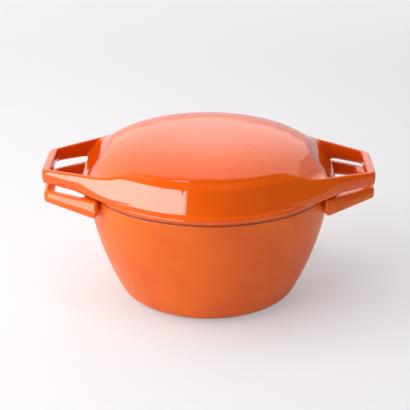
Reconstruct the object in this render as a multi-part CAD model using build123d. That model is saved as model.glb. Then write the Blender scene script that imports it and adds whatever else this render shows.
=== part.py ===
from build123d import *
import os
from math import acos, atan2, cos, hypot, pi, sin, sqrt, tan

# A small enamelled cast-iron casserole. The round pot has a loop grip cast on each side,
# and the low domed lid has loop grips of the same plan and rests on the pot's flat rim.
# Millimetres and degrees, +Z up, the pot's foot on Z = 0, the pot's grips along X.

# Pot body: its wall is one long arc that leans outward by wall_lean at the rim
rim_radius = 108.0
rim_height = 103.8
wall_arc_radius = 255.0
wall_lean = 5.5
wall_thickness = 4.2
floor_thickness = 5.0
foot_corner = 12.0
floor_corner = 11.0
rim_round = 1.0

# White enamel that lines the pot and the lid
enamel_thickness = 0.6
enamel_below_rim = 2.0

# Lid body: its outer section is a superellipse that stands on the rim, a little inside it
dome_inset = 2.5
dome_height = 46.8
dome_power = 3.0
dome_steps = 9
lid_thickness = 4.2
lip_overhang = 0.4
lip_height = 5.6
lip_round = 1.6
lip_fillet = 1.2
lip_edge = 1.0
skirt_clearance = 1.0
skirt_width = 3.5
skirt_depth = 5.0
skirt_round = 1.0

# The lid sits turned a little on its round seat, clockwise from above
lid_turn = -3.2

# Loop grips as seen from above, at the height of the end's under side: they grow out of a circle
# inside the rim, and their outer and window faces lean back towards the top, as a casting's do.
# The window's face at the root of the lid's grip leans back the most
lid_grip_length = 37.9
pot_grip_length = 36.5
grip_half_width = 30.5
grip_tangent_inset = 3.7
grip_draft = 7.0
window_draft = 3.0
end_bar_width = 11.2
side_bar_width = 9.4
lid_window_length = 20.0
pot_window_length = 24.4
lid_root_draft = 30.0
pot_root_draft = 3.0
grip_corner = 5.0
grip_root_corner = 12.0
window_corner = 3.0

# Loop grips as seen from the front, above or below the rim, at the end and at the root
lid_grip_top_end = 18.3
lid_grip_top_root = 26.1
lid_grip_under_end = 5.7
lid_grip_under_root = 4.5
pot_grip_rise = 2.2
pot_grip_under_end = 7.8
pot_grip_under_root = 19.2
grip_top_edge = 1.5
grip_under_edge = 4.0
window_edge = 1.5
flare_width = 4.4
flare_height = 5.0

# Room around the lid's lip, between the inner ends of the pot's grips
lip_clearance = 0.6

# Cutters and buried ends run past the faces that they cross by this much
overrun = 4.0

# Radii that follow the rim
lip_radius = rim_radius + lip_overhang
dome_radius = rim_radius - dome_inset
grip_tangent_radius = rim_radius - grip_tangent_inset


# A face in the section plane, with some of its corners rounded.
def rounded_face(edges, rounds):
    face = make_face(edges)
    for place, radius in rounds:
        corner = face.vertices().sort_by_distance((*place, 0))[0]
        face = fillet(corner, radius)
    return face


# A solid of revolution about Z, from a face drawn as radius across and height up.
def turned(face):
    return revolve(Plane.XZ * face, Axis.Z)


# The radius, at a height, of the wall face that lies an inset inside the outer one.
def wall_radius(height, inset):
    centre_radius = rim_radius - wall_arc_radius * cos(wall_lean * pi / 180)
    centre_height = rim_height + wall_arc_radius * sin(wall_lean * pi / 180)
    arc = wall_arc_radius - inset
    return centre_radius + sqrt(arc ** 2 - (centre_height - height) ** 2)


# The round solid inside a wall face, from a floor up to a top.
def bowl(inset, floor, corner, top, top_round=0):
    low = (wall_radius(floor, inset), floor)
    middle = (wall_radius((floor + top) / 2, inset), (floor + top) / 2)
    high = (wall_radius(top, inset), top)
    edges = [
        Line((0, floor), low),
        ThreePointArc(low, middle, high),
        Line(high, (0, top)),
        Line((0, top), (0, floor)),
    ]
    rounds = [(low, corner)]
    if top_round:
        rounds.append((high, top_round))
    return turned(rounded_face(edges, rounds))


# A point of a superellipse dome section, at a step from its low end to its crown.
def dome_point(radius, height, low_height, step):
    start = (low_height / height) ** (dome_power / 2)
    angle = atan2(start, sqrt(1 - start ** 2))
    angle += (pi / 2 - angle) * step / dome_steps
    across = radius * cos(angle) ** (2 / dome_power) if step < dome_steps else 0
    return (across, rim_height + height * sin(angle) ** (2 / dome_power))


# The dome section's curve from its low end to its crown, level at the crown.
def dome_curve(radius, height, low_height):
    points = [dome_point(radius, height, low_height, step) for step in range(dome_steps + 1)]
    power = dome_power - 1
    lean = (-low_height ** power, (height / radius) ** dome_power * points[0][0] ** power)
    return Spline(points, tangents=[lean, (-1, 0)]), points[0], points[-1]


# Where a grip's side, drawn from the corner of its end bar, touches the tangent circle.
def touch_point(reach):
    turn = atan2(grip_half_width, reach) + acos(grip_tangent_radius / hypot(reach, grip_half_width))
    return (grip_tangent_radius * cos(turn), grip_tangent_radius * sin(turn))


# Half the width of a grip at a distance out from the axis, less an inset of its sides.
def half_width(reach, across, inset):
    touch = touch_point(reach)
    slope = (touch[1] - grip_half_width) / (reach - touch[0])
    return grip_half_width + (reach - across) * slope - inset * hypot(1, slope)


# A four-sided plan that is mirrored in X, with one rounding at its inner end and one at its outer.
def plan(inner, inner_half, outer, outer_half, inner_round, outer_round):
    outline = [(inner, -inner_half), (outer, -outer_half), (outer, outer_half), (inner, inner_half)]
    face = make_face(Polyline(*outline, close=True))
    inner_ends = face.vertices().sort_by(Axis.X)[:2]
    face = fillet(inner_ends, inner_round)
    outer_ends = [face.vertices().sort_by_distance((outer, side * outer_half, 0))[0] for side in (-1, 1)]
    return fillet(outer_ends, outer_round)


# Whether a face is nearer to level than to upright.
def is_level(face):
    return abs(face.normal_at().Z) > hypot(face.normal_at().X, face.normal_at().Y)


# The edges of a solid that lie where some edges of an earlier state of it lay.
def same_edges(solid, edges):
    return [solid.edges().sort_by_distance(edge.center())[0] for edge in edges]


# The cutter for a grip's window: a drafted prism that ends at its own leaning face at the root.
def window_cutter(reach, length, root_draft, under_end, floor, height):
    root = touch_point(reach)[0]
    shrink = (under_end - floor) * tan(window_draft * pi / 180)
    end = reach - end_bar_width - shrink
    inset = side_bar_width + shrink
    root_half = half_width(reach, root, inset)
    end_half = half_width(reach, end, inset)
    outline = plan(root, root_half, end, end_half, window_corner, window_corner)
    cutter = extrude(Plane.XY.offset(floor) * outline, height, taper=-window_draft)
    lean = tan(root_draft * pi / 180)
    start = reach - end_bar_width - length
    low = (start + (under_end - floor) * lean, floor)
    high = (start + (under_end - floor - height) * lean, floor + height)
    kept = make_face(Polyline(low, (reach, floor), (reach, floor + height), high, close=True))
    cutter &= extrude(Plane.XZ * kept, reach, both=True)
    corners = cutter.faces().sort_by(Axis.X)[0].edges().sort_by(Axis.Y)
    return fillet([corners[0], corners[-1]], window_corner)


# One loop grip on +X: its plan, cut to the side view given by four heights, with its window.
def grip(length, window_length, root_draft, top_root, top_end, under_root, under_end):
    reach = rim_radius + length
    root, root_half = touch_point(reach)
    stretch = (reach + overrun - root) / (reach - root)
    far_top = top_root + (top_end - top_root) * stretch
    far_under = under_root + (under_end - under_root) * stretch
    floor = min(under_root, far_under) - overrun
    height = max(top_root, far_top) + overrun - floor
    grow = (under_end - floor) * tan(grip_draft * pi / 180)
    end_half = half_width(reach, reach + grow, -grow)
    outline = plan(root, root_half, reach + grow, end_half, grip_root_corner, grip_corner)
    block = extrude(Plane.XY.offset(floor) * outline, height, taper=grip_draft)
    side_view = [(root, under_root), (reach + overrun, far_under), (reach + overrun, far_top), (root, top_root)]
    side = make_face(Polyline(*side_view, close=True))
    block &= extrude(Plane.XZ * side, reach, both=True)
    block -= window_cutter(reach, window_length, root_draft, under_end, floor, height)
    under, top = block.faces().filter_by(is_level).sort_by(Axis.Z)
    for face, radius in ((top, grip_top_edge), (under, grip_under_edge)):
        edges = [edge for edge in face.outer_wire().edges() if edge.center().X > root + overrun]
        block = fillet(same_edges(block, edges), radius)
    block = fillet(same_edges(block, top.inner_wires()[0].edges()), window_edge)
    flared = same_edges(block, under.inner_wires()[0].edges())
    under = block.faces().sort_by_distance(under.center())[0]
    return chamfer(flared, flare_width, flare_height, reference=under)


# Both grips of a piece, on +X and -X.
def grips(*sizes):
    one = grip(*sizes)
    return one + one.rotate(Axis.Z, 180)


def make_pot():
    grip_top = rim_height + pot_grip_rise
    loops = grips(
        pot_grip_length,
        pot_window_length,
        pot_root_draft,
        grip_top,
        grip_top,
        rim_height - pot_grip_under_root,
        rim_height - pot_grip_under_end,
    )
    seat = Cylinder(lip_radius + lip_clearance, overrun, align=(Align.CENTER, Align.CENTER, Align.MIN))
    loops -= Pos(0, 0, rim_height) * seat
    outside = bowl(0, 0, foot_corner, rim_height, rim_round) + loops
    return outside - bowl(wall_thickness, floor_thickness, floor_corner, rim_height + overrun)


def make_pot_enamel():
    top = rim_height - enamel_below_rim
    filled = bowl(wall_thickness, floor_thickness, floor_corner, top)
    inset = wall_thickness + enamel_thickness
    floor = floor_thickness + enamel_thickness
    corner = floor_corner - enamel_thickness
    return filled - bowl(inset, floor, corner, top + overrun)


# The radius of the lid's hollow, inside the skirt that drops into the pot's mouth.
def skirt_radius():
    mouth = wall_radius(rim_height - skirt_depth, wall_thickness + enamel_thickness)
    return mouth - skirt_clearance


# The round solid inside the lid, less an inset, from a height up.
def hollow(inset, bottom):
    radius = skirt_radius() - skirt_width - inset
    curve, low, crown = dome_curve(radius, dome_height - lid_thickness - inset, 0)
    edges = [
        Line((0, bottom), (radius, bottom)),
        Line((radius, bottom), low),
        curve,
        Line(crown, (0, bottom)),
    ]
    return turned(make_face(edges))


def make_lid():
    curve, low, crown = dome_curve(dome_radius, dome_height, lip_height)
    lip_top = rim_height + lip_height
    edges = [
        Line((0, rim_height), (lip_radius, rim_height)),
        Line((lip_radius, rim_height), (lip_radius, lip_top)),
        Line((lip_radius, lip_top), low),
        curve,
        Line(crown, (0, rim_height)),
    ]
    rounds = [((lip_radius, rim_height), lip_edge), ((lip_radius, lip_top), lip_round), (low, lip_fillet)]
    outside = turned(rounded_face(edges, rounds))
    outside += grips(
        lid_grip_length,
        lid_window_length,
        lid_root_draft,
        rim_height + lid_grip_top_root,
        rim_height + lid_grip_top_end,
        rim_height + lid_grip_under_root,
        rim_height + lid_grip_under_end,
    )
    under = rim_height - skirt_depth
    plug = Cylinder(skirt_radius(), skirt_depth + lip_height, align=(Align.CENTER, Align.CENTER, Align.MIN))
    plug = Pos(0, 0, under) * plug
    plug = fillet(plug.edges().group_by(Axis.Z)[0], skirt_round)
    lid = outside + plug - hollow(0, under - overrun)
    return lid.rotate(Axis.Z, lid_turn)


def make_lid_enamel():
    bottom = rim_height - skirt_depth + enamel_below_rim
    enamel = hollow(0, bottom) - hollow(enamel_thickness, bottom - overrun)
    return enamel.rotate(Axis.Z, lid_turn)


os.makedirs("parts", exist_ok=True)
export_step(make_pot(), "parts/pot_casting.step")
export_step(make_pot_enamel(), "parts/pot_enamel_lining.step")
export_step(make_lid(), "parts/lid_casting.step")
export_step(make_lid_enamel(), "parts/lid_enamel_lining.step")
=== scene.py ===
import math

import bpy
import numpy as np
from mathutils import Matrix, Vector


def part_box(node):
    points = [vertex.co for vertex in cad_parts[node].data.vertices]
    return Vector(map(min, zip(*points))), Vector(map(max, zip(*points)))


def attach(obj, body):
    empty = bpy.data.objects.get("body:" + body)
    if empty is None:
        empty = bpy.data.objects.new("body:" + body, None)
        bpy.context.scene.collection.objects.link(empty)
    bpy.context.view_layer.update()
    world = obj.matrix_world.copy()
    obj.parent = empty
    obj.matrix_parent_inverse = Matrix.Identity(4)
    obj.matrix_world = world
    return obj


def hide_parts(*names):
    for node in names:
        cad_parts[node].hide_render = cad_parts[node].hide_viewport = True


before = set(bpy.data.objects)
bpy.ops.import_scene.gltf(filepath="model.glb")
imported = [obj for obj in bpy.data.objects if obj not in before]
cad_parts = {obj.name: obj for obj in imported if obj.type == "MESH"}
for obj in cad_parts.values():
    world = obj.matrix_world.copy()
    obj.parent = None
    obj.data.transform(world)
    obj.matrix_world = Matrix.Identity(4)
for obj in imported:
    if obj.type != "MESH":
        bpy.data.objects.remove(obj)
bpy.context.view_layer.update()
print("frame loaded:", sorted(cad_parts))

mm = 0.001
skirtDrop = 5.0    # the lid's skirt hangs this far into the pot, in mm
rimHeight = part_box("lid_casting")[0].z / mm + skirtDrop


# Wraps a socket, so that shader maths reads as plain expressions
class Wire:
    def __init__(self, sheet, socket):
        self.sheet = sheet
        self.socket = socket

    def maths(self, operation, first, second):
        return self.sheet.node("ShaderNodeMath", {"operation": operation}, {0: first, 1: second})[0]

    def __add__(self, other):
        return self.maths("ADD", self, other)

    def __radd__(self, other):
        return self.maths("ADD", other, self)

    def __sub__(self, other):
        return self.maths("SUBTRACT", self, other)

    def __rsub__(self, other):
        return self.maths("SUBTRACT", other, self)

    def __mul__(self, other):
        return self.maths("MULTIPLY", self, other)

    def __rmul__(self, other):
        return self.maths("MULTIPLY", other, self)

    def __truediv__(self, other):
        return self.maths("DIVIDE", self, other)

    def __rtruediv__(self, other):
        return self.maths("DIVIDE", other, self)


# The outputs of one node, by name or number
class Outputs:
    def __init__(self, sheet, node):
        self.sheet = sheet
        self.node = node

    def __getitem__(self, name):
        return Wire(self.sheet, self.node.outputs[name])


# The node sheet of a material or of the world
class Sheet:
    def __init__(self, owner):
        owner.use_nodes = True
        self.owner = owner
        self.tree = owner.node_tree
        self.tree.nodes.clear()

    # Any node: its type, its settings, then the values or wires of its sockets
    def node(self, kind, settings=None, sockets=None):
        made = self.tree.nodes.new(kind)
        for name, value in (settings or {}).items():
            setattr(made, name, value)
        for name, value in (sockets or {}).items():
            socket = made.inputs[name]
            if isinstance(value, Wire):
                self.tree.links.new(value.socket, socket)
            elif hasattr(value, "__len__") and len(value) == 3 and len(socket.default_value) == 4:
                socket.default_value = (*value, 1)
            else:
                socket.default_value = value
        return Outputs(self, made)

    def noise(self, place, scale, detail=2.0, roughness=0.5):
        sockets = {"Vector": place, "Scale": scale, "Detail": detail, "Roughness": roughness}
        return self.node("ShaderNodeTexNoise", {}, sockets)["Fac"]

    # 0 below low, 1 above high, smooth between
    def step(self, value, low, high):
        settings = {"interpolation_type": "SMOOTHSTEP"}
        sockets = {"Value": value, "From Min": low, "From Max": high, "To Min": 0.0, "To Max": 1.0}
        return self.node("ShaderNodeMapRange", settings, sockets)["Result"]

    # Colours are sockets 6 and 7 of a Mix node, and its output 2
    def mix(self, share, first, second):
        return self.node("ShaderNodeMix", {"data_type": "RGBA"}, {0: share, 6: first, 7: second})[2]

    def bump(self, height, strength, distance):
        sockets = {"Height": height, "Strength": strength, "Distance": distance}
        return self.node("ShaderNodeBump", {}, sockets)["Normal"]

    def finish(self, sockets):
        shader = self.node("ShaderNodeBsdfPrincipled", {}, sockets)
        self.node("ShaderNodeOutputMaterial", {}, {"Surface": shader["BSDF"]})
        return self.owner


def addObject(name, data):
    made = bpy.data.objects.new(name, data)
    bpy.context.scene.collection.objects.link(made)
    return made


# Rounded meeting of two shapes given by their distances: material common to both
def both(first, second, rounding):
    corner = np.hypot(np.maximum(first + rounding, 0), np.maximum(second + rounding, 0))
    return np.minimum(np.maximum(first, second), -rounding) + corner


# Rounded join of two shapes: material of either, with a hollow blend between them
def either(first, second, rounding):
    return -both(-first, -second, rounding)


# Distance to a flat face seen from the side, through two points (across, up), positive above it
def above(across, up, start, end):
    run, rise = end[0] - start[0], end[1] - start[1]
    return ((up - start[1]) * run - (across - start[0]) * rise) / math.hypot(run, rise)


# What the four loop grips share, in mm
loopPlan = {
    "rimRadius": 108.0,
    "touchRadius": 104.3,    # the disc that the sides of a loop touch
    "rootAcross": 56.0,      # where the slopes of a loop reach their root heights
    "halfWidth": 30.5,
    "draft": math.radians(15),
    "windowDraft": math.radians(3),
    "endBar": 11.2,
    "sideBar": 9.4,
    "cornerRound": 3.6,
    "windowRound": 2.0,
    "topEdge": 1.5,
    "windowEdge": 1.8,
    "underEdge": 2.2,
}


# Seen from above: the outline round a disc and the two corners of a loop, joined by straight lines
# that touch the disc. Inside is negative
def tautOutline(across, along, disc, reach, halfWidth):
    turn = np.arctan2(halfWidth, reach) + np.arccos(disc / np.hypot(reach, halfWidth))
    straight = across * np.cos(turn) + along * np.sin(turn) - disc
    past = along * np.cos(turn) - across * np.sin(turn)
    side = np.where(past > 0, np.hypot(across, along) - disc, straight)
    return both(side, across - reach, loopPlan["cornerRound"])


# One loop grip, mirrored on both sides: the distances to its block and to its window.
# slab is what lies under its top face, already blended with whatever stands on it
def loopGrip(across, along, up, shape, disc, slab):
    plan = loopPlan
    halfWidth = plan["halfWidth"]
    radius = np.hypot(across, along)
    reach = plan["rimRadius"] + shape["length"]
    rise = up - shape["underEnd"]
    lean = rise * math.tan(plan["draft"])
    outline = tautOutline(across, along, disc, reach - lean, halfWidth - lean)
    if "shoulder" in shape:
        outline = both(outline, shape["shoulder"] - across, shape["shoulderRound"])
    inward = np.clip((reach - across) / (reach - plan["rootAcross"]), 0, 1)
    underHeight = shape["underEnd"] + (shape["underRoot"] - shape["underEnd"]) * inward
    depth, height = shape["bevel"]
    if "nearRim" in shape:
        far = np.clip((radius - plan["rimRadius"]) / shape["nearRim"], 0, 1)
        far = far * far * (3 - 2 * far)
        underHeight = shape["rimUnder"] + (underHeight - shape["rimUnder"]) * far
        rimDepth, rimBevel = shape["rimBevel"]
        depth, height = rimDepth + (depth - rimDepth) * far, rimBevel + (height - rimBevel) * far
    under = underHeight - up
    bevel = (outline * height + depth * (height + under)) / np.hypot(depth, height)
    block = both(outline, slab, plan["topEdge"])
    block = both(block, bevel, shape["bevelRound"])
    block = both(block, under, plan["underEdge"])
    spread = rise * math.tan(plan["windowDraft"])
    touch = math.atan2(halfWidth, reach) + math.acos(plan["touchRadius"] / math.hypot(reach, halfWidth))
    slope = math.tan(touch - math.pi / 2)
    inner = (along - halfWidth + (reach - across) * slope) / math.hypot(1, slope) + plan["sideBar"] - spread
    outer = across - (reach - plan["endBar"]) - spread
    rootLean = math.radians(shape["rootDraft"])
    start = reach - plan["endBar"] - shape["window"]
    root = (start - rise * math.tan(rootLean) - across) * math.cos(rootLean)
    window = both(both(inner, outer, plan["windowRound"]), root, plan["windowRound"])
    depth, height = shape["flare"]
    flare = (depth * (height + under) - window * height) / math.hypot(depth, height)
    return both(block, flare, plan["windowEdge"]), window


# Heights are above the rim
lidShape = {
    "turn": math.radians(-3.2),
    "domeRadius": 106.5,
    "flankRadius": 107.3,
    "flankLean": math.radians(17),
    "domeHeight": 46.8,
    "domePower": 3.0,
    "lipRadius": 108.4,
    "lipHeight": 5.6,
    "lipRound": 1.8,
    "lipFillet": 2.0,
    "seatRound": 0.6,
    "skirtRadius": 101.6,
    "skirtTop": 3.0,
    "skirtRound": 1.0,
    "skirtTopRound": 0.1,
    "hollow": (98.2, 42.65, 3.0),    # radius, height and power
    "hollowRound": 0.8,
    "length": 40.0,
    "topEnd": 18.3,
    "topRoot": 26.1,
    "underEnd": 5.7,
    "underRoot": 4.5,
    "bevel": (5.0, 8.0),
    "bevelRound": 2.5,
    "nearRim": 16.0,                 # over this length the underside and its bevel pass into
    "rimUnder": 3.2,                 # these two at the rim
    "rimBevel": (2.0, 3.0),
    "window": 21.9,
    "rootDraft": 42.0,
    "flare": (4.0, 5.0),
    "blend": 10.0,
    "discTop": 32.0,                 # the disc of the grips grows no narrower above this height
    "discRange": (90.0, 106.5),
}


# Radius of a dome with a superellipse section at a height above the rim
def domeWidth(up, wide, high, power):
    return wide * np.maximum(1 - (np.clip(up, 0, high) / high) ** power, 0.02) ** (1 / power)


# Distance to a dome of revolution with a superellipse section, above the rim
def domeDistance(radius, up, wide, high, power):
    across, rise = np.maximum(radius, 0.01) / wide, np.maximum(up, 0) / high
    size = np.maximum((across ** power + rise ** power) ** (1 / power), 0.05)
    steep = np.hypot((across / size) ** (power - 1) / wide, (rise / size) ** (power - 1) / high)
    return (size - 1) / steep


def lidField(place, wanted="solid"):
    shape = lidShape
    c, s = math.cos(shape["turn"]), math.sin(shape["turn"])
    across = np.abs(place[:, 0] * c + place[:, 1] * s)
    along = np.abs(place[:, 1] * c - place[:, 0] * s)
    up = place[:, 2] - rimHeight
    radius = np.hypot(across, along)
    section = (shape["domeRadius"], shape["domeHeight"], shape["domePower"])
    flankWidth = shape["flankRadius"] - up * math.tan(shape["flankLean"])
    dome = domeDistance(radius, up, *section)
    dome = np.maximum(dome, (radius - flankWidth) * math.cos(shape["flankLean"]))
    root = (loopPlan["rootAcross"], shape["topRoot"])
    end = (loopPlan["rimRadius"] + shape["length"], shape["topEnd"])
    slab = either(dome, above(across, up, root, end), shape["blend"])
    disc = domeWidth(np.minimum(up, shape["discTop"]), *section)
    disc = np.minimum(disc, np.clip(flankWidth, *shape["discRange"]))
    block, window = loopGrip(across, along, up, shape, disc, slab)
    if wanted == "window":
        return window
    lip = both(radius - shape["lipRadius"], up - shape["lipHeight"], shape["lipRound"])
    body = either(dome, lip, shape["lipFillet"])
    body = both(body, -up, shape["seatRound"])
    joined = np.minimum(body, block)
    joined = both(joined, -window, loopPlan["windowEdge"])
    skirt = both(radius - shape["skirtRadius"], -up - skirtDrop, shape["skirtRound"])
    skirt = both(skirt, up - shape["skirtTop"], shape["skirtTopRound"])
    joined = np.minimum(joined, skirt)
    hollow = domeDistance(radius, up, *shape["hollow"])
    return both(joined, -hollow, shape["hollowRound"])


# The wall is one arc. Heights of the grips are above the rim
potShape = {
    "arc": 255.0,
    "lean": math.radians(5.5),
    "thickness": 4.2,
    "floor": 4.9,
    "footRound": 9.5,
    "floorRound": 2.5,
    "rimRound": 0.7,
    "mouthRound": 1.0,
    "length": 38.2,
    "top": 2.2,
    "underEnd": -7.8,
    "underRoot": -19.2,
    "bevel": (3.4, 4.6),
    "bevelRound": 1.8,
    "window": 25.6,
    "rootDraft": 3.0,
    "flare": (4.0, 5.0),
    "blend": 7.0,
    "blendDepth": 6.0,       # the blend is full this far below the rim
    "leastBlend": 0.05,
    "shoulder": 96.5,
    "shoulderRound": 5.0,
    "seatRadius": 109.0,
}


def potField(place, wanted="solid"):
    shape = potShape
    across, along, height = np.abs(place[:, 0]), np.abs(place[:, 1]), place[:, 2]
    up = height - rimHeight
    radius = np.hypot(across, along)
    centre = loopPlan["rimRadius"] - shape["arc"] * math.cos(shape["lean"])
    centreHeight = rimHeight + shape["arc"] * math.sin(shape["lean"])
    wall = np.hypot(radius - centre, height - centreHeight) - shape["arc"]
    body = both(both(wall, -height, shape["footRound"]), up, shape["rimRound"])
    disc = np.full(len(up), loopPlan["touchRadius"])
    block, window = loopGrip(across, along, up, shape, disc, up - shape["top"])
    if wanted == "window":
        return window
    block = np.maximum(block, -np.maximum(radius - shape["seatRadius"], -up))
    blend = shape["blend"] * np.clip(-up / shape["blendDepth"], shape["leastBlend"], 1)
    joined = either(body, block, blend)
    joined = both(joined, -window, loopPlan["windowEdge"])
    cavity = both(wall + shape["thickness"], shape["floor"] - height, shape["floorRound"])
    return both(joined, -cavity, shape["mouthRound"])


# The surface where a distance field crosses 0, as quads with one point in each grid cell that it crosses
def surfaceNet(field, low, high, step):
    axes = [np.arange(a, b + step, step) for a, b in zip(low, high)]
    grid = np.stack(np.meshgrid(*axes, indexing="ij"), -1)
    values = np.concatenate([field(slab.reshape(-1, 3)) for slab in grid]).reshape(grid.shape[:3])
    inside = values < 0
    cells = tuple(n - 1 for n in values.shape)
    total, count = np.zeros(cells + (3,)), np.zeros(cells)
    crossings = []
    for axis in range(3):
        near = [slice(None)] * 3
        far = [slice(None)] * 3
        near[axis], far[axis] = slice(0, -1), slice(1, None)
        near, far = tuple(near), tuple(far)
        crossed = inside[near] != inside[far]
        share = np.where(crossed, values[near] / np.where(crossed, values[near] - values[far], 1), 0)
        point = grid[near] * 1.0
        point[..., axis] += share * step
        point[~crossed] = 0
        others = [a for a in range(3) if a != axis]
        for first in (0, 1):
            for second in (0, 1):
                part = [slice(None)] * 3
                part[others[0]] = slice(first, first + cells[others[0]])
                part[others[1]] = slice(second, second + cells[others[1]])
                total += point[tuple(part)]
                count += crossed[tuple(part)]
        crossings.append((axis, others, crossed, inside[near]))
    used = count > 0
    number = np.full(cells, -1)
    number[used] = np.arange(used.sum())
    points = total[used] / count[used][:, None]
    quads = []
    for axis, others, crossed, solid in crossings:
        at = np.argwhere(crossed)
        ok = (at[:, others[0]] > 0) & (at[:, others[1]] > 0)
        ok &= (at[:, others[0]] < cells[others[0]]) & (at[:, others[1]] < cells[others[1]])
        at = at[ok]
        ring = []
        for first, second in ((1, 1), (0, 1), (0, 0), (1, 0)):
            cell = at.copy()
            cell[:, others[0]] -= first
            cell[:, others[1]] -= second
            ring.append(number[tuple(cell.T)])
        ring = np.stack(ring, -1)
        flip = solid[tuple(at.T)] != (axis == 1)
        ring[~flip] = ring[~flip][:, ::-1]
        quads.append(ring)
    return points, np.concatenate(quads)


# The direction in which a distance field rises, at each point
def slopeOf(field, points, reach=0.02):
    rises = []
    for axis in range(3):
        shift = np.zeros(3)
        shift[axis] = reach
        rises.append((field(points + shift) - field(points - shift)) / (2 * reach))
    return np.stack(rises, -1)


# Moves points along the field's slope until they lie on its surface
def settle(field, points, step):
    for again in range(4):
        rise = slopeOf(field, points)
        size = np.maximum((rise ** 2).sum(-1), 0.2)
        move = rise * (field(points) / size)[:, None]
        length = np.linalg.norm(move, axis=-1, keepdims=True)
        points = points - move * np.minimum(1, step / np.maximum(length, 1e-9))
    return points


def castingMesh(name, field, low, high, step):
    points, quads = surfaceNet(field, low, high, step)
    points = settle(field, points, step / 2)
    mesh = bpy.data.meshes.new(name)
    mesh.from_pydata((points * mm).tolist(), [], quads.tolist())
    mesh.update()
    return mesh


def meshPoints(mesh):
    points = np.empty(3 * len(mesh.vertices))
    mesh.vertices.foreach_get("co", points)
    return points.reshape(-1, 3) / mm


# Thins the flat stretches first, so that the edges keep their points
def fewerFaces(mesh, wanted):
    holder = addObject("holder", mesh)
    thin = holder.modifiers.new("thin", "DECIMATE")
    thin.ratio = min(1, wanted / (2 * len(mesh.polygons)))
    made = bpy.data.meshes.new_from_object(holder.evaluated_get(bpy.context.evaluated_depsgraph_get()))
    bpy.data.objects.remove(holder)
    made.name = mesh.name
    return made


castings = {
    "pot": {"field": potField, "node": "pot_casting", "slot": "orange_enamel_iron", "step": 1.3},
    "lid": {"field": lidField, "node": "lid_casting", "slot": "orange_enamel_iron", "step": 1.2},
}
meshing = {
    "faces": 72000,
    "margin": 2.3,        # grid cells round the node's box
    "settleStep": 0.3,
    "shadeReach": 0.6,
    "windowFade": 1.6,    # how far the painted shade inside a loop's window reaches, in mm
}


def shadeFromField(mesh, field, points):
    rise = slopeOf(field, points, meshing["shadeReach"])
    rise /= np.maximum(np.linalg.norm(rise, axis=-1, keepdims=True), 1e-6)
    for polygon in mesh.polygons:
        polygon.use_smooth = True
    mesh.normals_split_custom_set_from_vertices(rise.tolist())


# A casting's outer skin, drawn on its distance field, with the field's own direction as its shading
def makeCasting(body):
    facts = castings[body]
    field = facts["field"]
    low, high = [np.array(corner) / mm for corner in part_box(facts["node"])]
    margin = meshing["margin"] * facts["step"]
    mesh = castingMesh(body + "Enamelled", field, low - margin, high + margin, facts["step"])
    mesh = fewerFaces(mesh, meshing["faces"])
    points = settle(field, meshPoints(mesh), meshing["settleStep"])
    mesh.vertices.foreach_set("co", (points * mm).ravel())
    shadeFromField(mesh, field, points)
    # Painted shade: how near each point lies to a loop's window, so that the faces inside the windows can be
    # painted darker
    paintedWindowShade = np.clip(meshing["windowFade"] - np.abs(field(points, "window")), 0, 1)
    mesh.attributes.new("paintedWindowShade", "FLOAT", "POINT").data.foreach_set("value", paintedWindowShade)
    piece = addObject(body + "Enamelled", mesh)
    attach(piece, body)
    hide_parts(facts["node"])
    print(body, "casting:", len(mesh.vertices), "points,", len(mesh.polygons), "faces")
    return piece


potPiece = makeCasting("pot")
lidPiece = makeCasting("lid")


enamelLook = {
    # Painted shade: the deep red laid on the faces inside the loop windows, and how much of it
    "paintedWindowShade": (0.58, 0.050, 0.001),
    "windowShare": 0.75,
    "wornEdge": (0.30, 0.045, 0.008),
    "wornShare": 0.85,
    "footShare": 0.8,
    "rimIron": (0.13, 0.034, 0.014),
    "ironRing": (106.4, 106.9),       # the bare rim ends between these radii
    "broadScale": 14.0,
    "broadEdges": (0.35, 0.75),
    "broadShare": 0.55,
    "cloudScale": 45.0,
    "cloudEdges": (0.45, 0.75),
    "fineScale": 420.0,
    "grainScale": 1500.0,
    "fineRagged": 1.6,
    "cloudRagged": 2.4,
    "pinhole": (0.10, 0.020, 0.008),
    "pinholeScale": 55.0,
    "pinholeEdges": (0.025, 0.06),
    "pinholeAreas": 23.0,
    "areaEdges": (0.64, 0.68),
    "ripple": {"Scale": 22.0, "Distortion": 9.0, "Detail": 2.0, "Detail Scale": 0.6},
    "broadRelief": 1.2,
    "fineRelief": 0.03,
    "pinholeRelief": 0.5,
    "bumpStrength": 0.35,
    "bumpDistance": 0.0012,
    "indexOfRefraction": 1.5,
}
# Heights of the worn and the bare band are above the rim
enamelKinds = {
    "pot": {
        "base": (0.84, 0.145, 0.005),
        "second": (0.64, 0.078, 0.010),
        "cloudShare": 0.35,
        "rimRagged": 0.6,
        "wornHeights": (-1.5, -0.3),
        "wornRadii": (107.6, 108.6),
        "bareHeights": (-0.35, -0.15),
        "footHeights": (0.2, 1.6),
        "gripRadii": (109.0, 114.0),
        "rippleRelief": 0.05,
        "grainRelief": 0.012,
        "roughness": 0.09,
        "wallRoughness": 0.20,
        "cloudRoughness": 0.16,
        "bareRoughness": 0.3,
        "specular": 0.3,
    },
    "lid": {
        "base": (0.82, 0.112, 0.001),
        "second": (0.74, 0.080, 0.001),
        "cloudShare": 0.15,
        "wornHeights": (0.5, 2.4),
        "wornRadii": (105.0, 107.0),
        "lipRadii": (109.0, 110.0),
        "bareHeights": (0.05, 0.3),
        "rippleRelief": 0.12,
        "roughness": 0.06,
        "cloudRoughness": 0.06,
        "bareRoughness": 0.4,
        "specular": 0.5,
    },
}


# Distance from the pot's axis, in mm
def axisRadius(sheet, parts):
    flat = sheet.node("ShaderNodeCombineXYZ", {}, {"X": parts["X"], "Y": parts["Y"]})["Vector"]
    return sheet.node("ShaderNodeVectorMath", {"operation": "LENGTH"}, {0: flat})["Value"] / mm
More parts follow.
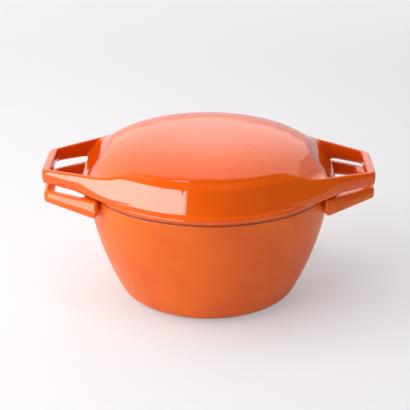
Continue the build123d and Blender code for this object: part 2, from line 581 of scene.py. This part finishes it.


# Orange glass enamel over iron, glossy on the lid and duller, smudged and scrubbed on the pot's wall, with
# painted shade inside the loop windows
def orangeEnamel(name, body):
    look, own, onPot = enamelLook, enamelKinds[body], body == "pot"
    sheet = Sheet(bpy.data.materials.new(name))
    place = sheet.node("ShaderNodeTexCoord")["Object"]
    parts = sheet.node("ShaderNodeSeparateXYZ", {}, {"Vector": place})
    height = parts["Z"] / mm
    radius = axisRadius(sheet, parts)
    broad = sheet.noise(place, look["broadScale"], 3.0)
    cloud = sheet.noise(place, look["cloudScale"], 4.0, 0.6)
    fine = sheet.noise(place, look["fineScale"])
    colour = sheet.mix(sheet.step(broad, *look["broadEdges"]) * look["broadShare"], own["base"], own["second"])
    colour = sheet.mix(sheet.step(cloud, *look["cloudEdges"]) * own["cloudShare"], colour, own["second"])
    sockets = {"Vector": place, "Scale": look["pinholeScale"]}
    spots = sheet.node("ShaderNodeTexVoronoi", {"feature": "F1"}, sockets)["Distance"]
    few = sheet.step(sheet.noise(place, look["pinholeAreas"], 0.0), *look["areaEdges"])
    pinholes = (1 - sheet.step(spots, *look["pinholeEdges"])) * few
    colour = sheet.mix(pinholes, colour, look["pinhole"])
    ragged = (fine - 0.5) * look["fineRagged"] + (cloud - 0.5) * look["cloudRagged"]
    wornLow, wornHigh = [rimHeight + rise for rise in own["wornHeights"]]
    bareLow, bareHigh = [rimHeight + rise for rise in own["bareHeights"]]
    bare = sheet.step(height, bareLow, bareHigh)
    if onPot:
        nearRim = sheet.step(height + ragged * own["rimRagged"], wornLow, wornHigh)
        nearRim = nearRim * (1 - sheet.step(radius, *own["wornRadii"]))
    else:
        nearRim = 1 - sheet.step(height + ragged, wornLow, wornHigh)
        nearRim = nearRim * sheet.step(radius, *own["wornRadii"]) * (1 - sheet.step(radius, *own["lipRadii"]))
        bare = 1 - bare
    bare = bare * (1 - sheet.step(radius, *look["ironRing"]))
    # Painted shade: the faces inside the loop windows are darkened to a deep red
    paintedWindowShade = sheet.node("ShaderNodeAttribute", {"attribute_name": "paintedWindowShade"})["Fac"]
    colour = sheet.mix(paintedWindowShade * look["windowShare"], colour, look["paintedWindowShade"])
    colour = sheet.mix(nearRim * look["wornShare"], colour, look["wornEdge"])
    colour = sheet.mix(bare, colour, look["rimIron"])
    sockets = {"Vector": place, **look["ripple"]}
    settings = {"wave_type": "BANDS", "bands_direction": "Y"}
    ripple = sheet.node("ShaderNodeTexWave", settings, sockets)["Fac"]
    relief = broad * look["broadRelief"] + ripple * own["rippleRelief"] + fine * look["fineRelief"]
    relief = relief - pinholes * look["pinholeRelief"]
    if onPot:
        foot = 1 - sheet.step(height + ragged, *own["footHeights"])
        colour = sheet.mix(foot * look["footShare"], colour, look["wornEdge"])
        grain = sheet.noise(place, look["grainScale"], 1.0)
        wallPart = 1 - sheet.step(radius, *own["gripRadii"])
        relief = relief + grain * own["grainRelief"] * wallPart
        rough = own["roughness"] + wallPart * (own["wallRoughness"] + cloud * own["cloudRoughness"])
    else:
        rough = own["roughness"] + cloud * own["cloudRoughness"]
    return sheet.finish({
        "Base Color": colour,
        "Roughness": rough + bare * own["bareRoughness"],
        "IOR": look["indexOfRefraction"],
        "Specular IOR Level": own["specular"],
        "Normal": sheet.bump(relief, look["bumpStrength"], look["bumpDistance"]),
    })


liningLook = {
    "white": (0.80, 0.78, 0.72),
    "cream": (0.70, 0.64, 0.52),
    "creamShare": 0.5,
    "stain": (0.46, 0.34, 0.22),
    "stainShare": 0.35,
    "stainDepth": 22,            # stains fade out over this height and between these radii
    "stainRadii": (40.0, 95.0),
    "broadScale": 18.0,
    "broadEdges": (0.35, 0.7),
    "fineScale": 160.0,
    "fineEdges": (0.5, 0.75),
    "swirl": {"Scale": 60.0, "Distortion": 2.5, "Detail": 2.0},
    "swirlRelief": 0.02,
    "fineRelief": 0.05,
    "bumpStrength": 0.3,
    "bumpDistance": 0.001,
    "roughness": 0.14,
    "fineRoughness": 0.10,
    "stainRoughness": 0.2,
    "coat": 0.5,
    "coatRoughness": 0.05,
}
linings = {
    "pot_enamel_lining": {"material": "PotEnamelLining", "stainHeight": 6.0},
    "lid_enamel_lining": {"material": "LidEnamelLining", "stainHeight": rimHeight + 60},
}


# White enamel inside, with faint cooking stains towards the middle of the floor
def whiteEnamel(name, stainHeight):
    look = liningLook
    sheet = Sheet(bpy.data.materials.new(name))
    place = sheet.node("ShaderNodeTexCoord")["Object"]
    parts = sheet.node("ShaderNodeSeparateXYZ", {}, {"Vector": place})
    radius = axisRadius(sheet, parts)
    broad = sheet.noise(place, look["broadScale"], 4.0, 0.6)
    fine = sheet.noise(place, look["fineScale"], 3.0)
    colour = sheet.mix(sheet.step(broad, *look["broadEdges"]) * look["creamShare"], look["white"], look["cream"])
    low = 1 - sheet.step(parts["Z"] / mm, stainHeight, stainHeight + look["stainDepth"])
    stained = sheet.step(fine, *look["fineEdges"]) * low * (1 - sheet.step(radius, *look["stainRadii"]))
    colour = sheet.mix(stained * look["stainShare"], colour, look["stain"])
    settings = {"wave_type": "RINGS", "rings_direction": "Z"}
    swirl = sheet.node("ShaderNodeTexWave", settings, {"Vector": place, **look["swirl"]})["Fac"]
    relief = broad + swirl * look["swirlRelief"] + fine * look["fineRelief"]
    rough = look["roughness"] + fine * look["fineRoughness"] + stained * look["stainRoughness"]
    return sheet.finish({
        "Base Color": colour,
        "Roughness": rough,
        "Coat Weight": look["coat"],
        "Coat Roughness": look["coatRoughness"],
        "Normal": sheet.bump(relief, look["bumpStrength"], look["bumpDistance"]),
    })


potPiece.data.materials.append(orangeEnamel("potOrangeEnamel", "pot"))
lidPiece.data.materials.append(orangeEnamel("lidOrangeEnamel", "lid"))
for nodeName, facts in linings.items():
    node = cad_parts[nodeName]
    node.data.materials.clear()
    node.data.materials.append(whiteEnamel(facts["material"], facts["stainHeight"]))
print("enamels made")


sweepShape = {"width": 4.5, "front": -3.0, "back": 1.6, "bend": 0.7, "height": 3.2}
sweepLook = {
    "paper": (0.78, 0.775, 0.79),
    "mottle": (0.75, 0.73, 0.75),
    "mottleScale": 3.0,
    "mottleShare": 0.2,
    "glow": (0.95, 0.94, 0.96),
    "glowShare": 0.38,            # near the pot, and rising to 1 between these distances
    "glowDistances": (0.7, 1.8),
    "mirroredShare": 0.2,         # in reflections, and more by this much above these heights
    "mirroredRise": 0.5,
    "mirroredHeights": (0.05, 0.35),
}


# A pale paper sweep: floor, bend and wall in one sheet
def makeSweep():
    shape, look = sweepShape, sweepLook
    bend, back, width = shape["bend"], shape["back"], shape["width"]
    line = [(shape["front"], 0.0), (back - bend, 0.0)]
    line += [(back - bend + bend * math.sin(math.radians(a)), bend - bend * math.cos(math.radians(a)))
             for a in range(10, 90, 10)]
    line += [(back, bend), (back, shape["height"])]
    points = [(side * width, y, z) for y, z in line for side in (-1, 1)]
    faces = [(2 * i, 2 * i + 1, 2 * i + 3, 2 * i + 2) for i in range(len(line) - 1)]
    mesh = bpy.data.meshes.new("paperSweep")
    mesh.from_pydata(points, [], faces)
    for polygon in mesh.polygons:
        polygon.use_smooth = True
    sweep = addObject("paperSweep", mesh)
    sheet = Sheet(bpy.data.materials.new("paleSweep"))
    place = sheet.node("ShaderNodeTexCoord")["Object"]
    mottle = sheet.noise(place, look["mottleScale"]) * look["mottleShare"]
    paper = sheet.mix(mottle, look["paper"], look["mottle"])
    matte = sheet.node("ShaderNodeBsdfDiffuse", {}, {"Color": paper})["BSDF"]
    glow = sheet.node("ShaderNodeEmission", {}, {"Color": look["glow"], "Strength": 1.0})["Emission"]
    rays = sheet.node("ShaderNodeLightPath")
    height = sheet.node("ShaderNodeSeparateXYZ", {}, {"Vector": place})["Z"]
    high = sheet.step(height, *look["mirroredHeights"])
    away = sheet.node("ShaderNodeVectorMath", {"operation": "LENGTH"}, {0: place})["Value"]
    seen = look["glowShare"] + sheet.step(away, *look["glowDistances"]) * (1 - look["glowShare"])
    mirrored = look["mirroredShare"] + high * look["mirroredRise"]
    share = rays["Is Camera Ray"] * seen + rays["Is Glossy Ray"] * mirrored
    mixed = sheet.node("ShaderNodeMixShader", {}, {"Fac": share, 1: matte, 2: glow})["Shader"]
    clear = sheet.node("ShaderNodeBsdfTransparent")["BSDF"]
    fromBelow = sheet.node("ShaderNodeNewGeometry")["Backfacing"]    # the foot is seen through the floor
    mixed = sheet.node("ShaderNodeMixShader", {}, {"Fac": fromBelow, 1: mixed, 2: clear})["Shader"]
    sheet.node("ShaderNodeOutputMaterial", {}, {"Surface": mixed})
    mesh.materials.append(sheet.owner)


makeSweep()

lampColour = (1.0, 0.985, 0.975)
lamps = {
    "leftWindow": {"place": (-0.98, -0.42, 0.66), "aim": (0, 0, 0.12), "size": (1.5, 1.3), "power": 19.5},
    "windowGlare": {"place": (-0.80, -0.67, 0.21), "aim": (0, 0, 0.12), "size": (1.04, 0.46), "power": 15.0},
    "overheadSheet": {"place": (-0.35, 0.9, 1.0), "aim": (-0.2, 0, 0.1), "size": (2.7, 1.85), "power": 12.5},
    "topSoftbox": {"place": (-0.2, -0.12, 1.36), "aim": (-0.1, 0, 0.1), "size": (1.6, 0.6), "power": 7.5},
    "lowBounce": {"place": (1.2, -1.1, 0.2), "aim": (0, 0, 0.05), "size": (0.8, 0.3), "power": 3.6},
}
glossOnly = ("windowGlare",)                            # a reflection that lights nothing
dullOnly = ("leftWindow", "topSoftbox", "lowBounce")    # light with no reflection of its own


def makeLamps():
    for name, facts in lamps.items():
        light = bpy.data.lights.new(name, "AREA")
        light.shape = "RECTANGLE"
        light.size, light.size_y = facts["size"]
        light.energy = facts["power"]
        light.color = lampColour
        lamp = addObject(name, light)
        lamp.location = facts["place"]
        toward = Vector(facts["aim"]) - Vector(facts["place"])
        lamp.rotation_euler = toward.to_track_quat("-Z", "Y").to_euler()
        lamp.visible_camera = False
        lamp.visible_diffuse = name not in glossOnly
        lamp.visible_glossy = name not in dullOnly


makeLamps()

worldLook = {"colour": (0.90, 0.88, 0.90), "strength": 0.12, "background": (0.95, 0.94, 0.96)}


# A dim world that the camera sees as a pale background
def makeWorld():
    world = bpy.data.worlds.new("studioAir")
    bpy.context.scene.world = world
    sheet = Sheet(world)
    sockets = {"Color": worldLook["colour"], "Strength": worldLook["strength"]}
    air = sheet.node("ShaderNodeBackground", {}, sockets)["Background"]
    sockets = {"Color": worldLook["background"], "Strength": 1.0}
    plain = sheet.node("ShaderNodeBackground", {}, sockets)["Background"]
    seen = sheet.node("ShaderNodeLightPath")["Is Camera Ray"]
    picked = sheet.node("ShaderNodeMixShader", {}, {"Fac": seen, 1: air, 2: plain})["Shader"]
    sheet.node("ShaderNodeOutputWorld", {}, {"Surface": picked})


makeWorld()

# The photograph's camera, fitted to the pot's round rim, its foot and the four loops
view = {
    "imageSize": 410,
    "unit": 108 / 110,                # fitted lengths to mm
    "distance": 1120.0,
    "focal": 1218.0,                  # in pixels
    "aimHeight": 70.0,
    "elevation": math.radians(22),
    "azimuth": math.radians(-2.67),
    "roll": 0.0052,
    "centre": (208.55, 216.71),       # the pixel on the camera's axis
    "sensor": 36.0,
    "nearest": 0.01,
}


def makeCamera():
    camera = bpy.data.cameras.new("photoCamera")
    holder = addObject("photoCamera", camera)
    size, angle, distance = view["imageSize"], view["elevation"], view["distance"]
    camera.sensor_width = view["sensor"]
    camera.lens = view["focal"] / size * view["sensor"]
    camera.shift_x = (size / 2 - view["centre"][0]) / size
    camera.shift_y = (view["centre"][1] - size / 2) / size
    camera.clip_start = view["nearest"]
    back = Vector((0, -distance * math.cos(angle), view["aimHeight"] + distance * math.sin(angle)))
    turn = Matrix.Rotation(view["azimuth"], 3, "Z")
    holder.location = turn @ (back * view["unit"] * mm)
    tilt = Matrix.Rotation(math.pi / 2 - angle, 3, "X")
    facing = turn @ tilt @ Matrix.Rotation(view["roll"], 3, "Z")
    holder.rotation_euler = facing.to_euler()
    bpy.context.scene.camera = holder


makeCamera()
bpy.context.scene.view_settings.view_transform = "Standard"

print("scene ready")
